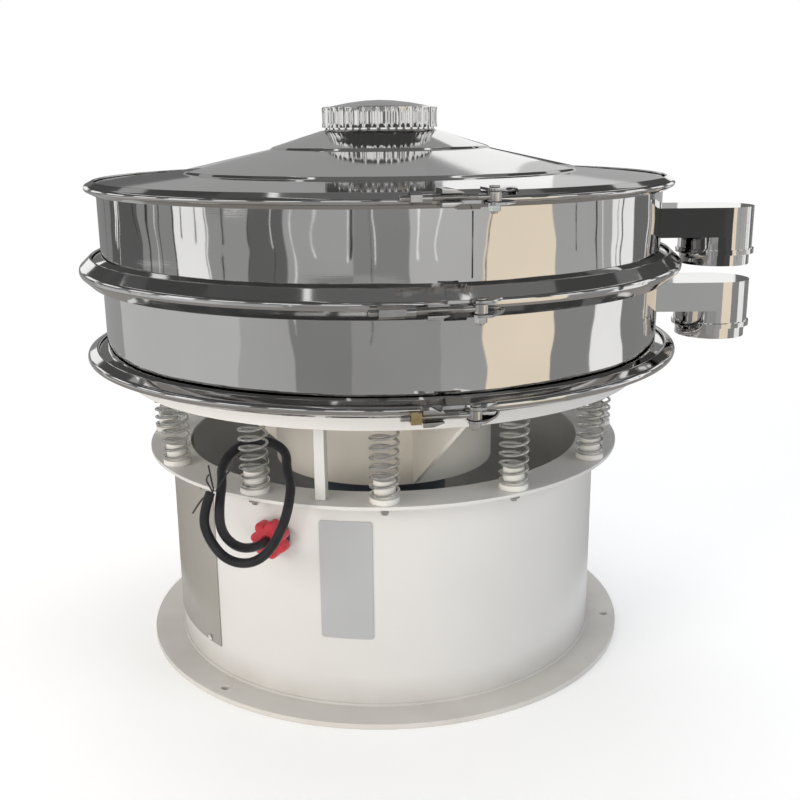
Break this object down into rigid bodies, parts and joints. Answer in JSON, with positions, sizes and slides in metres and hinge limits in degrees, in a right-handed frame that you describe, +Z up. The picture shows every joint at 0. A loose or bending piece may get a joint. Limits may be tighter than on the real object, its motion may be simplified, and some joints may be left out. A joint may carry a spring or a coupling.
{
  "type": "vibrating sieve",
  "caption": "Round vibrating sieve: spring-borne steel frames clamped by V-rings over a drum base, with domed lid, capped inlet and side outlets.",
  "frame": {"origin": "on the floor, on the axis of the barrel", "axes": "+Z up along the barrel's axis; +X the way both outlets point; -Y the side with the ring clamps and the cable"},
  "size_m": [0.9815, 0.8849, 0.786],
  "materials": {
    "off_white_paint": "gloss",
    "grey_paint": "satin",
    "polished_steel": "mirror",
    "plain_steel": "satin",
    "mesh": "fine woven wire",
    "zinc": "bright zinc",
    "brass": "turned",
    "red_plastic": "satin",
    "dark_plastic": "satin",
    "seat_nylon": "satin",
    "cable_rubber": "satin",
    "motor_paint": "satin",
    "cast": "rough"
  },
  "bodies": {
    "base": {"foot_flange": "off_white_paint", "barrel_shell": "off_white_paint", "base_top_flange": "off_white_paint", "access_cover": "grey_paint", "cover_screws": "zinc", "gland_body": "dark_plastic", "gland_nut": "red_plastic", "supply_cable": "cable_rubber", "springs": "zinc", "spring_seats_lower": "seat_nylon", "seat_nuts": "zinc", "limit_posts": "off_white_paint"},
    "vibrating_frame": {"table": "off_white_paint", "motor_drum": "off_white_paint", "gussets": "off_white_paint", "spring_seats_upper": "seat_nylon", "motor_housing": "motor_paint", "lower_frame": "polished_steel", "discharge_pan": "polished_steel", "lower_outlet": "polished_steel", "screen_ring": "polished_steel", "screen_mesh": "mesh", "upper_frame": "polished_steel", "upper_outlet": "polished_steel", "lower_ring": "polished_steel", "middle_ring": "polished_steel", "top_ring": "polished_steel", "lid_rim": "polished_steel", "lid": "polished_steel", "inlet_neck": "polished_steel", "pin_nuts": "zinc", "top_bridge": "plain_steel", "top_saddle": "plain_steel", "top_fork": "plain_steel", "top_pin": "plain_steel", "middle_bridge": "plain_steel", "middle_saddle": "plain_steel", "middle_fork": "plain_steel", "middle_pin": "plain_steel", "lower_bridge": "plain_steel", "lower_saddle": "plain_steel", "lower_fork": "plain_steel", "lower_pin": "plain_steel"},
    "motor_rotor": {"rotor_shaft": "plain_steel", "upper_weight": "cast", "lower_weight": "cast"},
    "inlet_cover": {"inlet_cap": "polished_steel"},
    "top_bolt": {"top_swing_bolt": "plain_steel"},
    "top_clamp_nut": {"top_nut": "plain_steel"},
    "middle_bolt": {"middle_swing_bolt": "plain_steel"},
    "middle_clamp_nut": {"middle_nut": "plain_steel"},
    "lower_bolt": {"lower_swing_bolt": "plain_steel"},
    "lower_clamp_nut": {"lower_nut": "brass"}
  },
  "joints": [
    {"name": "table_bounce", "type": "slide", "parent": "base", "child": "vibrating_frame", "axis": [0, 0, 1], "range_m": [-0.006, 0.006], "stiffness_N_per_m": 400000, "deforming": ["springs"]},
    {"name": "motor_spin", "type": "hinge", "parent": "vibrating_frame", "child": "motor_rotor", "pos_m": [0, 0, 0.3], "axis": [0, 0, 1], "continuous": true},
    {"name": "inlet_cap_lift", "type": "slide", "parent": "vibrating_frame", "child": "inlet_cover", "axis": [0, 0, 1], "range_m": [0, 0.12]},
    {"name": "top_bolt_swing", "type": "hinge", "parent": "vibrating_frame", "child": "top_bolt", "pos_m": [0.12311, -0.40771, 0.677], "axis": [0, 0, 1], "range_deg": [0, 70]},
    {"name": "top_nut_turn", "type": "hinge", "parent": "top_bolt", "child": "top_clamp_nut", "pos_m": [0.12311, -0.40771, 0.677], "axis": [-0.974, -0.2267, 0], "continuous": true},
    {"name": "middle_bolt_swing", "type": "hinge", "parent": "vibrating_frame", "child": "middle_bolt", "pos_m": [0.10788, -0.42694, 0.558], "axis": [0, 0, 1], "range_deg": [0, 70]},
    {"name": "middle_nut_turn", "type": "hinge", "parent": "middle_bolt", "child": "middle_clamp_nut", "pos_m": [0.10788, -0.42694, 0.558], "axis": [-0.9829, -0.184, 0], "continuous": true},
    {"name": "lower_bolt_swing", "type": "hinge", "parent": "vibrating_frame", "child": "lower_bolt", "pos_m": [0.10297, -0.42559, 0.43755], "axis": [0, 0, 1], "range_deg": [0, 70]},
    {"name": "lower_nut_turn", "type": "hinge", "parent": "lower_bolt", "child": "lower_clamp_nut", "pos_m": [0.10297, -0.42559, 0.43755], "axis": [-0.9848, -0.1736, 0], "continuous": true}
  ]
}
